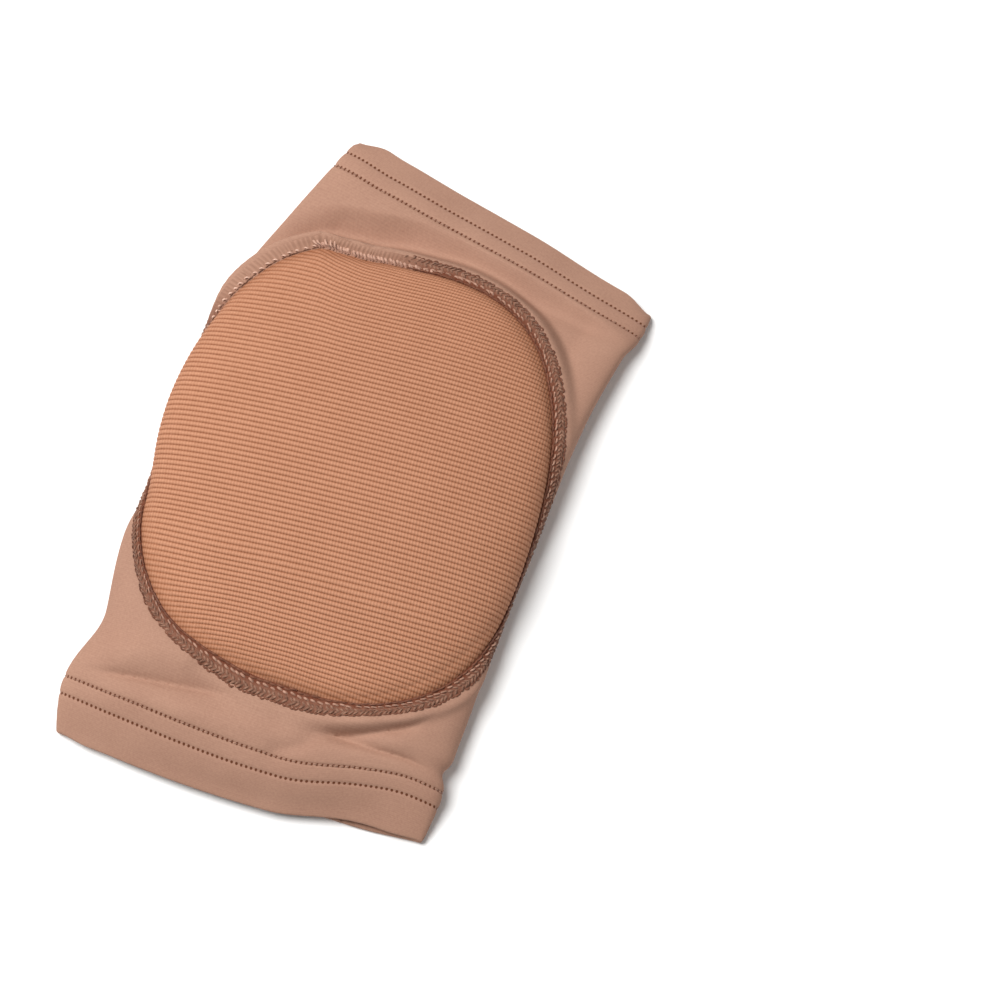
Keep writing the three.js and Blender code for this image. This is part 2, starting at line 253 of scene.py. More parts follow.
def half_sections(y):
    """Half of each section, from the front's middle round the side to the back's middle."""
    angle = np.linspace(0, math.pi / 2, ARC_STEPS + 1)
    half_width = along_leg("half_width", y)[:, None]
    rise = front_rise(y)[:, None]
    widest = SIDE_HEIGHT_SHARE * rise
    power = 2 / ARCH_SQUARENESS
    across = np.hstack((
        half_width * np.sin(angle) ** power,
        half_width - SIDE_RADIUS * (1 - np.cos(angle[1:])),
        0 * half_width,
    ))
    height = np.hstack((
        widest + (rise - widest) * np.abs(np.cos(angle)) ** power,
        widest - (widest - TABLE_GAP) * np.sin(angle[1:]),
        0 * half_width + TABLE_GAP,
    ))
    steps = np.hypot(np.diff(across), np.diff(height))
    return across, height, np.hstack((0 * half_width, np.cumsum(steps, axis=1)))


def half_round(y):
    """Millimetres round the cloth from the front's middle to the back's middle."""
    return half_sections(np.atleast_1d(np.asarray(y, float)))[2][:, -1]


def fold_height(around, y):
    """How far the folds lift the front cloth."""
    t = np.linspace(0, 1, FOLD_STEPS + 1)
    taper = smooth(t, 0, FOLD_TAPER) * smooth(1 - t, 0, FOLD_TAPER)
    height = np.zeros(len(y))
    for fold in FOLDS:
        corners = np.array((fold["start"], fold["bend"], fold["end"]))
        line = np.column_stack(((1 - t) ** 2, 2 * t * (1 - t), t * t)) @ corners
        gap = np.hypot(around[:, None] - line[:, 0], y[:, None] - line[:, 1])
        nearest = gap.argmin(axis=1)
        heading = np.gradient(line, axis=0)[nearest]
        turn = heading[:, 0] * (y - line[nearest, 1]) - heading[:, 1] * (around - line[nearest, 0])
        rounded = np.hypot(gap[np.arange(len(y)), nearest], FOLD_ROUNDING)
        off = rounded / np.where(turn > 0, fold["left"], fold["right"])
        height += fold["height"] * taper[nearest] * np.exp(-off ** fold["profile"])
    return height


def step_height(around, y):
    """How far the cloth stands above the thigh hem: a step with a sharp foot and a rounded top."""
    past_foot = (y - eased(THIGH_STEP[:, 0], THIGH_STEP[:, 1], around)) / STEP_RUN
    rising = np.clip((past_foot + np.sqrt(past_foot ** 2 + STEP_FOOT)) / 2, 0, 1)
    fading = 1 - smooth(y, *STEP_FADES)
    height = eased(THIGH_STEP[:, 0], THIGH_STEP[:, 2], around)
    return height * (1 - (1 - rising) ** STEP_CROWN) * fading


def valley_depth(around, y):
    """How far the cloth sinks between the pad's lip and the calf hem."""
    out, _ = oval_out(*cloth_to_pad(around, y))
    ridge_y = eased(CALF_VALLEY[:, 0], CALF_VALLEY[:, 1], around)
    from_ridge = np.clip((ridge_y - y) / VALLEY_RUN, 0, 1)
    falling = np.sin(from_ridge * math.pi / 2)
    beside_pad = smooth(out, *VALLEY_FROM_PAD) * smooth(y, *VALLEY_ALONG_LEG)
    depth = eased(CALF_VALLEY[:, 0], CALF_VALLEY[:, 2], around)
    return depth * falling ** VALLEY_HOLLOW * beside_pad


def lip_height(around, y):
    """How far the cloth stands up along the pad's seam."""
    across, along = cloth_to_pad(around, y)
    out, _ = oval_out(across, along)
    degrees = oval_degrees(across, along)
    height = eased(SEAM_LIP[:, 0], SEAM_LIP[:, 1], degrees)
    place = eased(SEAM_LIP[:, 0], SEAM_LIP[:, 2], degrees)
    return height * np.exp(-((out - place) / LIP_WIDTH) ** 2)


def thigh_wave(around, y):
    """How far the front cloth is shifted along the leg near the thigh hem."""
    from_thigh = y - FIRST_Y
    growing = SAG_AT_EDGE + (1 - SAG_AT_EDGE) * smooth(from_thigh, *SAG_GROWS)
    sagging = growing * (1 - smooth(from_thigh, *SAG_FADES))
    drawn_up = (1 - smooth(from_thigh, 0, DRAWN_UP_RUN)) * (1 - smooth(around, *DRAWN_UP_ENDS))
    return drawn_up - sagging * eased(*THIGH_SAG.T, around)


def calf_wave(around, y):
    """How far the front cloth is shifted along the leg near the calf hem."""
    setting_in, full = CALF_BULGE_RUN
    return smooth(y, LAST_Y - setting_in, LAST_Y - full) * eased(*CALF_BULGE.T, around)


def corner_round(share, y):
    """How far the hems' edges draw in at the corners, where the flattened tube folds at its sides."""
    at_thigh = THIGH_CORNER * (1 - smooth(y, FIRST_Y, FIRST_Y + CORNER_RUN))
    at_calf = CALF_CORNER * smooth(y, LAST_Y - CORNER_RUN, LAST_Y)
    return swell(share, *CORNER_SHARES) * (at_thigh - at_calf)


def on_cloth(y, around):
    """Points of the cloth's outer face, by place along the leg and millimetres round it."""
    y, around = np.broadcast_arrays(np.asarray(y, float), np.asarray(around, float))
    points = np.empty((y.size, 3))
    at_once = 4000
    for start in range(0, y.size, at_once):
        part = slice(start, start + at_once)
        place = y.ravel()[part]
        across, height, length = half_sections(place)
        full = length[:, -1]
        signed = (around.ravel()[part] + full) % (2 * full) - full
        side = np.where(signed < 0, -1, 1)
        run = np.abs(signed)
        row = np.arange(len(run))
        after = np.clip((length < run[:, None]).sum(axis=1), 1, length.shape[1] - 1)
        before = after - 1
        t = (run - length[row, before]) / (length[row, after] - length[row, before])
        out = across[row, before] + (across[row, after] - across[row, before]) * t
        up = height[row, before] + (height[row, after] - height[row, before]) * t
        share = run / length[:, ARC_STEPS]
        on_side = swell(share, *PINCH_SHARES)
        for which, y_in, depth, half in PINCHES:
            out = out - (side == which) * on_side * depth * np.exp(-((place - y_in) / half) ** 2)
        lip = lip_height(signed, place)
        out = out + LIP_OVERHANG * lip * swell(share, *OVERHANG_SHARES)
        front = np.clip(1 - share ** 2, 0, 1)
        upper = np.minimum(1, 2 * front)
        turn = np.radians(along_leg("turn", place))
        run_on_share = front * (1 - RUN_ON_LOSS * smooth(side * share, *RUN_ON_ENDS))
        run_on = along_leg("run_on", place) * run_on_share
        x = along_leg("x", place) + side * out * np.cos(turn)
        forward = place + side * out * np.sin(turn) + run_on + thigh_wave(signed, place) * upper
        forward += calf_wave(signed, place) * (1 - smooth(share, *BULGE_ENDS))
        forward += corner_round(share, place)
        raised = fold_height(signed, place) + step_height(signed, place) + lip
        raised -= valley_depth(signed, place)
        points[part] = np.column_stack((x, forward, up + raised * upper))
    return points.reshape(y.shape + (3,))


def outward(points):
    """Normals of a grid of points whose rows run along the leg and columns round it."""
    along, around = np.gradient(points, axis=(0, 1))
    normal = np.cross(around, along)
    return normal / np.linalg.norm(normal, axis=2, keepdims=True)


# The panels' ends: how far the hems' two needle rows lie from each folded edge and how deep they pull
# the cloth in, the roll of the fold and how far it runs on inside
THIGH_ROWS = (13.4, 18.8)
CALF_ROWS = (8.7, 14.2)
NEEDLE_LINES = [FIRST_Y + row for row in THIGH_ROWS] + [LAST_Y - row for row in CALF_ROWS]
NEEDLE_PULL = 0.3
NEEDLE_PULL_WIDTH = 0.6
HEM_EASE = 3
ROLL = 0.9
ROLL_STEP = 18
ROLL_ON = (1.2, 2.4)

# The spacing of a panel's rows along the leg, and closer rows at the needle rows and over the creases
PANEL_GRID = 0.85
LEAST_GRID = 0.5
NEAR_NEEDLE = np.array((-1.3, -0.9, -0.6, -0.3, 0, 0.3, 0.6, 0.9, 1.3))
CREASED = np.arange(-89.0, -77, 0.55)


def panel_stations():
    """Places along the leg for a panel's rows, close together at the needle rows and the creases."""
    fine = np.concatenate([line + NEAR_NEEDLE for line in NEEDLE_LINES] + [CREASED])
    coarse = np.linspace(FIRST_Y + ROLL, LAST_Y - ROLL, int((LAST_Y - FIRST_Y) / PANEL_GRID))
    far = np.abs(coarse[:, None] - fine).min(axis=1) > LEAST_GRID
    return np.sort(np.concatenate((coarse[far], fine)))


def needle_gap(y):
    """Millimetres from each place to the nearest needle row."""
    return np.min([np.abs(y - line) for line in NEEDLE_LINES], axis=0)


def hem_relief(y, fullness):
    """The hems' doubled cloth may stand a little fuller, and the needle rows pull it in."""
    doubled = smooth(FIRST_Y + THIGH_ROWS[1] - y, 0, HEM_EASE)
    doubled += smooth(y - LAST_Y + CALF_ROWS[1], 0, HEM_EASE)
    return fullness * doubled - NEEDLE_PULL * np.exp(-(needle_gap(y) / NEEDLE_PULL_WIDTH) ** 2)


def rolled_panel(y, around, fullness):
    """A panel's grid of points, with both ends rolled in over the fold of the hem."""
    points = on_cloth(y, around)
    normal = outward(points)
    points = points + normal * hem_relief(y, fullness)[..., None]
    rolls = []
    for edge, inner in ((0, 1), (-1, -2)):
        into = points[inner] - points[edge]
        into /= np.linalg.norm(into, axis=1, keepdims=True)
        middle = points[edge] - ROLL * normal[edge]
        rows = []
        for angle in np.radians(np.arange(ROLL_STEP, 181, ROLL_STEP)):
            rows.append(middle + ROLL * (normal[edge] * math.cos(angle) - into * math.sin(angle)))
        turned_in = rows[-1]
        rows += [turned_in + run * into for run in ROLL_ON]
        rolls.append(np.array(rows))
    return np.concatenate((rolls[0][::-1], points, rolls[1])), len(rolls[0])


def with_rolls(values, count):
    """A grid of values carried on round both rolls."""
    first = np.repeat(values[:1], count, axis=0)
    last = np.repeat(values[-1:], count, axis=0)
    return np.concatenate((first, values, last))


def only(piece):
    """Makes a piece the only selected object, for the next operator."""
    bpy.ops.object.select_all(action="DESELECT")
    bpy.context.view_layer.objects.active = piece
    piece.select_set(True)


def mesh_piece(name, points, faces, smooth_angle=60):
    """An object from points in millimetres and faces, shaded smooth."""
    mesh = bpy.data.meshes.new(name)
    mesh.from_pydata((np.asarray(points).reshape(-1, 3) * MM).tolist(), [], faces)
    piece = bpy.data.objects.new(name, mesh)
    bpy.context.collection.objects.link(piece)
    only(piece)
    bpy.ops.object.shade_smooth_by_angle(angle=math.radians(smooth_angle))
    return piece


def paint(piece, name, values):
    """Keeps one number a point on a piece, for its material."""
    attribute = piece.data.attributes.new(name, "FLOAT", "POINT")
    attribute.data.foreach_set("value", np.asarray(values, np.float32).ravel())


def lay_uv(piece, places):
    """Lays the cloth's own millimetres, one place a point, down as the UV map."""
    corner = np.empty(len(piece.data.loops), np.int32)
    piece.data.loops.foreach_get("vertex_index", corner)
    layer = piece.data.uv_layers.new(name="cloth")
    layer.data.foreach_set("uv", (np.asarray(places).reshape(-1, 2)[corner] * MM).ravel())


def grid_faces(number):
    """Square faces between the rows and columns of a grid of point numbers."""
    squares = np.stack((number[:-1, :-1], number[:-1, 1:], number[1:, 1:], number[1:, :-1]), axis=2)
    return squares.reshape(-1, 4)


def cloth_piece(name, points, places, gap, keep=None):
    """A cloth from a grid of points, its places on the flat cloth and its gap to the needle rows."""
    number = np.arange(points.shape[0] * points.shape[1]).reshape(points.shape[:2])
    faces = grid_faces(number)
    if keep is not None:
        faces = faces[keep.ravel()]
    used, faces = np.unique(faces, return_inverse=True)
    piece = mesh_piece(name, points.reshape(-1, 3)[used], faces.reshape(-1, 4).tolist())
    lay_uv(piece, places.reshape(-1, 2)[used])
    paint(piece, "needle_gap", gap.ravel()[used])
    return piece


def thicken(piece, inward):
    """Gives a cloth its thickness, on the inside when the number is positive."""
    only(piece)
    wall = piece.modifiers.new("thickness", "SOLIDIFY")
    wall.thickness = inward * MM
    wall.offset = -1
    bpy.ops.object.modifier_apply(modifier=wall.name)


# The panel from flat seam to flat seam: half the back strip's width, and how far outside the sewn edge
# the oval hole is cut. Points near the hole's edge are pulled onto it.
BACK_SEAM = 36.0
HOLE_OUT = 1.6
HOLE_PULL = 0.8 * PANEL_GRID
FRONT_COLUMNS = 221
FRONT_FULLNESS = 0.3
stations = panel_stations()
half_rounds = half_round(stations)
front_round = np.linspace(-1, 1, FRONT_COLUMNS)[None, :] * (half_rounds - BACK_SEAM)[:, None]
front_y = np.repeat(stations[:, None], front_round.shape[1], axis=1)
pad_across, pad_along = cloth_to_pad(front_round, front_y)
out, sewn_edge = oval_out(pad_across, pad_along)
at_hole = np.abs(out - HOLE_OUT) < HOLE_PULL
pull = np.where(at_hole, (sewn_edge + HOLE_OUT) / (out + sewn_edge), 1)
pulled_round, pulled_y = pad_to_cloth(pad_across * pull, pad_along * pull)
front_round = np.where(at_hole, pulled_round, front_round)
front_y = np.where(at_hole, pulled_y, front_y)
front_points, rolled = rolled_panel(front_y, front_round, FRONT_FULLNESS)
front_out = with_rolls(np.where(at_hole, HOLE_OUT, out), rolled)
middles = front_out[:-1, :-1] + front_out[1:, :-1] + front_out[:-1, 1:] + front_out[1:, 1:]
front_places = with_rolls(np.stack((front_round, front_y), axis=2), rolled)
front_gap = with_rolls(needle_gap(front_y), rolled)
front_panel = cloth_piece(
    "front_panel_cloth", front_points, front_places, front_gap, keep=middles / 4 > HOLE_OUT - 1e-6,
)
thicken(front_panel, CLOTH_THICKNESS)


def linear(hex_colour):
    """A linear colour with alpha from an sRGB hex value."""
    parts = [int(hex_colour[i:i + 2], 16) / 255 for i in (1, 3, 5)]
    return [c / 12.92 if c <= 0.04045 else ((c + 0.055) / 1.055) ** 2.4 for c in parts] + [1]


def add_node(tree, kind, inputs=(), **settings):
    """Adds a node with its settings and gives its outputs. Inputs are values, or outputs to link."""
    node = tree.nodes.new(kind)
    for name, value in settings.items():
        setattr(node, name, value)
    named = inputs if isinstance(inputs, dict) else dict(enumerate(inputs))
    for name, value in named.items():
        if isinstance(value, bpy.types.NodeSocket):
            tree.links.new(value, node.inputs[name])
        else:
            node.inputs[name].default_value = value
    return node.outputs


def new_material(name):
    """An empty material and its node tree."""
    material = bpy.data.materials.new(name)
    material.use_nodes = True
    material.node_tree.nodes.clear()
    return material, material.node_tree


# Nylon and elastane interlock knit: matt and very even, with a faint bloom at grazing angles from its
# fine filaments. The wales are really about 0.4 mm apart and are drawn at twice that so that they show.
KNIT_LIGHT = "#b08873"
KNIT_DARK = "#936c5a"
# painted shade inside the needle holes
KNIT_HOLE_SHADE = "#5f341f"
KNIT_WALE = 0.8
KNIT_COURSE = 0.62
KNIT_GRAIN = 0.8
KNIT_CLOUD = 14
STITCH_PITCH = 1.7
HOLE_SHADE_FADE = (0.1, 0.34)


def sleeve_knit():
    material, tree = new_material("nylon_elastane_knit")
    uv = add_node(tree, "ShaderNodeUVMap", uv_map="cloth")[0]
    place = add_node(tree, "ShaderNodeSeparateXYZ", (uv,))
    wale_turn = math.pi / (KNIT_WALE * MM)
    wale = add_node(tree, "ShaderNodeMath", (place[0], wale_turn), operation="MULTIPLY")[0]
    wale = add_node(tree, "ShaderNodeMath", (wale,), operation="SINE")[0]
    wale = add_node(tree, "ShaderNodeMath", (wale,), operation="ABSOLUTE")[0]
    course_turn = 2 * math.pi / (KNIT_COURSE * MM)
    course = add_node(tree, "ShaderNodeMath", (place[1], course_turn), operation="MULTIPLY")[0]
    course = add_node(tree, "ShaderNodeMath", (course,), operation="SINE")[0]
    loops = add_node(tree, "ShaderNodeMath", (wale, course), operation="MULTIPLY")[0]
    loops = add_node(tree, "ShaderNodeMath", (loops, 0.5, 0.5), operation="MULTIPLY_ADD")[0]
    cloud = add_node(tree, "ShaderNodeTexNoise", {
        "Vector": uv, "Scale": 1 / (KNIT_CLOUD * MM), "Detail": 3.0,
    })[0]
    grain = add_node(tree, "ShaderNodeTexNoise", {
        "Vector": uv, "Scale": 1 / (KNIT_GRAIN * MM), "Detail": 2.0,
    })[0]
    tone = add_node(tree, "ShaderNodeMath", (cloud, 0.5, -0.15), operation="MULTIPLY_ADD")[0]
    for mark, strength in ((grain, 0.8), (loops, 0.2)):
        tone = add_node(tree, "ShaderNodeMath", (mark, strength, tone), operation="MULTIPLY_ADD")[0]
    cloth = add_node(tree, "ShaderNodeMix", {
        "Factor": tone, "A": linear(KNIT_DARK), "B": linear(KNIT_LIGHT),
    }, data_type="RGBA")["Result"]
    # painted shade of the needle holes: a dark dot between stitches along each needle row
    stitch_turn = 1 / (STITCH_PITCH * MM)
    step = add_node(tree, "ShaderNodeMath", (place[0], stitch_turn), operation="MULTIPLY")[0]
    step = add_node(tree, "ShaderNodeMath", (step,), operation="FRACT")[0]
    step = add_node(tree, "ShaderNodeMath", (step, -0.5), operation="ADD")[0]
    step = add_node(tree, "ShaderNodeMath", (step, STITCH_PITCH), operation="MULTIPLY")[0]
    gap = add_node(tree, "ShaderNodeAttribute", attribute_name="needle_gap")["Fac"]
    away = add_node(tree, "ShaderNodeMath", (step, step), operation="MULTIPLY")[0]
    away = add_node(tree, "ShaderNodeMath", (gap, gap, away), operation="MULTIPLY_ADD")[0]
    hole_shade = add_node(tree, "ShaderNodeMapRange", {
        "Value": away, "From Min": HOLE_SHADE_FADE[0], "From Max": HOLE_SHADE_FADE[1],
        "To Min": 1.0, "To Max": 0.0,
    }, interpolation_type="SMOOTHSTEP")[0]
    colour = add_node(tree, "ShaderNodeMix", {
        "Factor": hole_shade, "A": cloth, "B": linear(KNIT_HOLE_SHADE),
    }, data_type="RGBA")["Result"]
    bump = add_node(tree, "ShaderNodeBump", {
        "Height": loops, "Strength": 0.3, "Distance": 0.06 * MM,
    })[0]
    shader = add_node(tree, "ShaderNodeBsdfPrincipled", {
        "Base Color": colour, "Normal": bump, "Roughness": 0.82,
        "Specular IOR Level": 0.25, "Sheen Weight": 0.12, "Sheen Roughness": 0.5,
        "Sheen Tint": linear(KNIT_LIGHT),
    })[0]
    add_node(tree, "ShaderNodeOutputMaterial", (shader,))
    return material


knit = sleeve_knit()
front_panel.data.materials.append(knit)
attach(front_panel, "root")
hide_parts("front_panel")

# Back panel: a straight strip of the same knit behind the knee. It lies flat on the table between the
# two flat seams, and its ends are turned in with the front panel's.
BACK_COLUMNS = 61
BACK_FULLNESS = 0.0
back_round = half_rounds[:, None] + np.linspace(-BACK_SEAM, BACK_SEAM, BACK_COLUMNS)[None, :]
back_y = np.repeat(stations[:, None], back_round.shape[1], axis=1)
back_points, rolled = rolled_panel(back_y, back_round, BACK_FULLNESS)
back_places = with_rolls(np.stack((back_round, back_y), axis=2), rolled)
back_gap = with_rolls(needle_gap(back_y), rolled)
back_panel = cloth_piece("back_panel_cloth", back_points, back_places, back_gap)
thicken(back_panel, CLOTH_THICKNESS)
back_panel.data.materials.append(knit)
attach(back_panel, "root")
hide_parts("back_panel")


# Hems: the ends of the knit turned in under the outer layer, a wide one at the thigh and a narrow one
# at the calf. Only the cut edge shows, inside the mouth.
HEM_START = 1.6
HEM_EDGE = 0.9
HEM_LINES = 12
HEM_COLUMNS = 241
NO_NEEDLE_ROW = 9
HEMS = (
    ("thigh_hem", FIRST_Y, 1, THIGH_ROWS),
    ("calf_hem", LAST_Y, -1, CALF_ROWS),
)
for node, edge, inward, rows in HEMS:
    hem_y = np.sort(edge + inward * np.linspace(ROLL + HEM_START, rows[1] + HEM_EDGE, HEM_LINES))
    hem_round = np.linspace(-1, 1, HEM_COLUMNS)[None, :] * half_round(hem_y)[:, None]
    hem_y = np.repeat(hem_y[:, None], hem_round.shape[1], axis=1)
    outer = on_cloth(hem_y, hem_round)
    inner = outer - outward(outer) * 2 * ROLL
    inner[:, -1] = inner[:, 0]
    hem_places = np.stack((hem_round, hem_y), axis=2)
    hem_gap = np.full(hem_y.shape, NO_NEEDLE_ROW)
    hem = cloth_piece(node + "_fold", inner, hem_places, hem_gap)
    thicken(hem, -CLOTH_THICKNESS)
    hem.data.materials.append(knit)
    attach(hem, "root")
    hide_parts(node)

# Knee pad: soft foam under a rib knit, crowned in the middle and rounded down to the seam. The ribs
# run across the leg, each one a real ridge, and lie closer together towards the pad's ends.
RIB_PITCH = 1.665
RIB_CLOSING = 0.035
RIB_DEPTH = 0.45
RIB_STEPS = (0.0, 0.12, 0.3, 0.5, 0.7, 0.88)
RIB_ROUNDNESS = 0.7
RIB_LEVEL = 0.6
RIB_AT_EDGE = 0.3

# The pad's crown and how it falls, its rounded edge, how far that is sunk, the foam on the inside, and
# the columns of points across the face and the underside
PAD_CROWN = 6.6
CROWN_FALL = 2.2
CROWN_FLATNESS = 0.8
PAD_EDGE_RISE = 2.8
PAD_EDGE_RUN = 2.8
PAD_SUNK = 0.2
PAD_INSIDE = 2.4
PAD_END_SHARE = 0.999
STRAY_FADE = 4
FACE_COLUMNS = 121
FACE_CROWDING = 0.35
UNDER_COLUMNS = 11
EDGE_SHADE = 2.5
ribs = round(2 * PAD_HALF_LENGTH / RIB_PITCH)
rib_phase = np.append(np.add.outer(np.arange(ribs), RIB_STEPS).ravel(), ribs)
rib_share = (2 * rib_phase / ribs - 1) * PAD_END_SHARE
rib_along = PAD_HALF_LENGTH * rib_share * (1 + RIB_CLOSING - RIB_CLOSING * rib_share ** 2)
half_chord = (1 - np.abs(rib_along / PAD_HALF_LENGTH) ** PAD_SQUARENESS) ** (1 / PAD_SQUARENESS)
half_chord *= PAD_HALF_WIDTH * (1 - PAD_EGG * rib_along / PAD_HALF_LENGTH)


def pad_layer(places):
    """A layer of the pad as a grid: its places on the cut oval, points on the cloth and normals."""
    across = places[None, :] * half_chord[:, None]
    along = np.repeat(rib_along[:, None], len(places), axis=1)
    reach = oval_reach(across, along)
    stray = eased(*SEAM_STRAY.T, oval_degrees(across, along)) * reach ** STRAY_FADE
    stretch = 1 + stray / np.maximum(np.hypot(across, along), 1)
    around, y = pad_to_cloth(across * stretch, along * stretch)
    points = on_cloth(y, around)
    return across, along, points, outward(points)


def pad_fullness(across, along):
    """How full the foam is: 1 in the middle of the pad and 0 at its edge."""
    far = np.hypot(across / PAD_HALF_WIDTH, along / PAD_HALF_LENGTH)
    return np.clip(1 - far ** CROWN_FALL, 0, 1) ** CROWN_FLATNESS


even = np.linspace(-1, 1, FACE_COLUMNS)
crowded = (1 + FACE_CROWDING) * even - FACE_CROWDING * even ** 3
face_across, face_along, face, normal = pad_layer(crowded)
ridge = np.sin(math.pi * (rib_phase % 1))[:, None] ** RIB_ROUNDNESS
from_edge = np.clip(1 - oval_reach(face_across, face_along), 0, 1) * PAD_HALF_WIDTH
rounded = 1 - np.exp(-from_edge / PAD_EDGE_RUN)
lift = PAD_CROWN * pad_fullness(face_across, face_along) + PAD_EDGE_RISE * rounded - PAD_SUNK
lift += RIB_DEPTH * (ridge - RIB_LEVEL) * (RIB_AT_EDGE + (1 - RIB_AT_EDGE) * rounded)
face += normal * lift[..., None]
rounded_off = np.sin(np.linspace(-1, 1, UNDER_COLUMNS) * math.pi / 2)
under_across, under_along, under, normal = pad_layer(rounded_off)
inside = CLOTH_THICKNESS + PAD_INSIDE * pad_fullness(under_across, under_along)
under -= normal * inside[..., None]


def strip(low, high):
    """Triangles between two rows of point numbers that may differ in count."""
    faces = []
    i = j = 0
    while i < len(low) - 1 or j < len(high) - 1:
        low_next = (i + 1) / (len(low) - 1) <= (j + 1) / (len(high) - 1)
        if j == len(high) - 1 or (i < len(low) - 1 and low_next):
            faces.append((low[i], low[i + 1], high[j]))
            i += 1
        else:
            faces.append((low[i], high[j + 1], high[j]))
            j += 1
    return faces


top = np.arange(face.shape[0] * face.shape[1]).reshape(face.shape[:2])
low = top.size + np.arange(under.shape[0] * under.shape[1]).reshape(under.shape[:2])
pad_faces = grid_faces(top).tolist() + grid_faces(low[:, ::-1]).tolist()
pad_faces += grid_faces(np.stack((low[:, 0], top[:, 0]), axis=1)).tolist()
pad_faces += grid_faces(np.stack((top[:, -1], low[:, -1]), axis=1)).tolist()
pad_faces += strip(low[0].tolist(), top[0].tolist()) + strip(top[-1].tolist(), low[-1].tolist())
pad_points = np.concatenate((face.reshape(-1, 3), under.reshape(-1, 3)))
knee_pad = mesh_piece("knee_pad_ribbed", pad_points, pad_faces, smooth_angle=80)
face_places = np.stack((face_across, face_along), axis=2).reshape(-1, 2)
under_places = np.stack((under_across, under_along), axis=2).reshape(-1, 2)
lay_uv(knee_pad, np.concatenate((face_places, under_places)))
# kept for the rib knit, which paints shade from them into the hollows between ribs and along the pad's
# edge
ridge_marks = np.repeat(ridge, face.shape[1], axis=1).ravel()
paint(knee_pad, "ridge", np.append(ridge_marks, np.full(low.size, 0.5)))
edge_shading_marks = np.exp(-from_edge / EDGE_SHADE).ravel()
paint(knee_pad, "edge", np.append(edge_shading_marks, np.zeros(low.size)))

# Rib knit of textured nylon: matt, a warmer tan than the sleeve, with painted shade in the hollows
# between the ribs and towards the pad's edge, and a row of small loops along each rib.
RIB_CREST = "#c99274"
RIB_HOLLOW_SHADE = "#8c573a"
LOOP_PITCH = 1.03
RIB_GRAIN = 1.5
RIB_CLOUD = 16


def rib_knit():
    material, tree = new_material("nylon_rib_knit")
    uv = add_node(tree, "ShaderNodeUVMap", uv_map="cloth")[0]
    place = add_node(tree, "ShaderNodeSeparateXYZ", (uv,))
    ridge_mark = add_node(tree, "ShaderNodeAttribute", attribute_name="ridge")["Fac"]
    edge_shading = add_node(tree, "ShaderNodeAttribute", attribute_name="edge")["Fac"]
    loop_turn = 2 * math.pi / (LOOP_PITCH * MM)
    loop = add_node(tree, "ShaderNodeMath", (place[0], loop_turn), operation="MULTIPLY")[0]
    loop = add_node(tree, "ShaderNodeMath", (loop,), operation="SINE")[0]
    loop = add_node(tree, "ShaderNodeMath", (loop, 0.5, 0.5), operation="MULTIPLY_ADD")[0]
    grain = add_node(tree, "ShaderNodeTexNoise", {
        "Vector": uv, "Scale": 1 / (RIB_GRAIN * MM), "Detail": 3.0,
    })[0]
    cloud = add_node(tree, "ShaderNodeTexNoise", {
        "Vector": uv, "Scale": 1 / (RIB_CLOUD * MM), "Detail": 2.0,
    })[0]
    # the loops show less towards the calf end, where the knit is stretched more
    clear = add_node(tree, "ShaderNodeMapRange", {
        "Value": place[1], "From Min": -PAD_HALF_LENGTH * MM, "From Max": PAD_HALF_LENGTH * MM,
        "To Min": 0.28, "To Max": 0.1,
    })[0]
    loop_tone = add_node(tree, "ShaderNodeMath", (loop, clear), operation="MULTIPLY")[0]
    # painted shade: darker in the hollows between the ribs and towards the pad's edge
    crest = add_node(tree, "ShaderNodeMath", (ridge_mark, 0.62, -0.2), operation="MULTIPLY_ADD")[0]
    crest = add_node(tree, "ShaderNodeMath", (loop_tone, crest), operation="ADD")[0]
    for mark, strength in ((grain, 0.3), (cloud, 0.14), (edge_shading, -0.35)):
        crest = add_node(tree, "ShaderNodeMath", (mark, strength, crest), operation="MULTIPLY_ADD")[0]
    colour = add_node(tree, "ShaderNodeMix", {
        "Factor": crest, "A": linear(RIB_HOLLOW_SHADE), "B": linear(RIB_CREST),
    }, data_type="RGBA")["Result"]
    bump = add_node(tree, "ShaderNodeBump", {
        "Height": loop, "Strength": 0.6, "Distance": 0.15 * MM,
    })[0]
    shader = add_node(tree, "ShaderNodeBsdfPrincipled", {
        "Base Color": colour, "Normal": bump, "Roughness": 0.88,
        "Specular IOR Level": 0.2, "Sheen Weight": 0.1, "Sheen Roughness": 0.6,
        "Sheen Tint": linear(RIB_CREST),
    })[0]
    add_node(tree, "ShaderNodeOutputMaterial", (shader,))
    return material


knee_pad.data.materials.append(rib_knit())
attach(knee_pad, "root")
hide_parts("knee_pad")

# Pad seam: the pad's edge is overlocked to the sleeve all round in polyester thread. Over the band of
# cloth lie a row of dark thread beside the pad, which paints the shade of the gap under the pad's edge,
# a light needle row, a braid of two slanted rows and edge loops. At the far end the cloth is gathered,
# with painted shade in the gathers' hollows, the threads are drawn out paler, and the braid is left
# out.
FAR_DEGREES = (86, 108, 138, 156)
OVAL_STEPS = 1440
oval_angle = np.linspace(0, 2 * math.pi, OVAL_STEPS + 1)
oval_power = 2 / PAD_SQUARENESS
edge_along = PAD_HALF_LENGTH * np.sign(np.sin(oval_angle)) * np.abs(np.sin(oval_angle)) ** oval_power
edge_across = PAD_HALF_WIDTH * (1 - PAD_EGG * edge_along / PAD_HALF_LENGTH)
edge_across *= np.sign(np.cos(oval_angle)) * np.abs(np.cos(oval_angle)) ** oval_power
edge_stray = eased(*SEAM_STRAY.T, oval_degrees(edge_across, edge_along))
edge_stretch = 1 + edge_stray / np.hypot(edge_across, edge_along)
sewn_line = np.stack((edge_across * edge_stretch, edge_along * edge_stretch))
sewn_run = np.append(0, np.cumsum(np.hypot(*np.diff(sewn_line))))
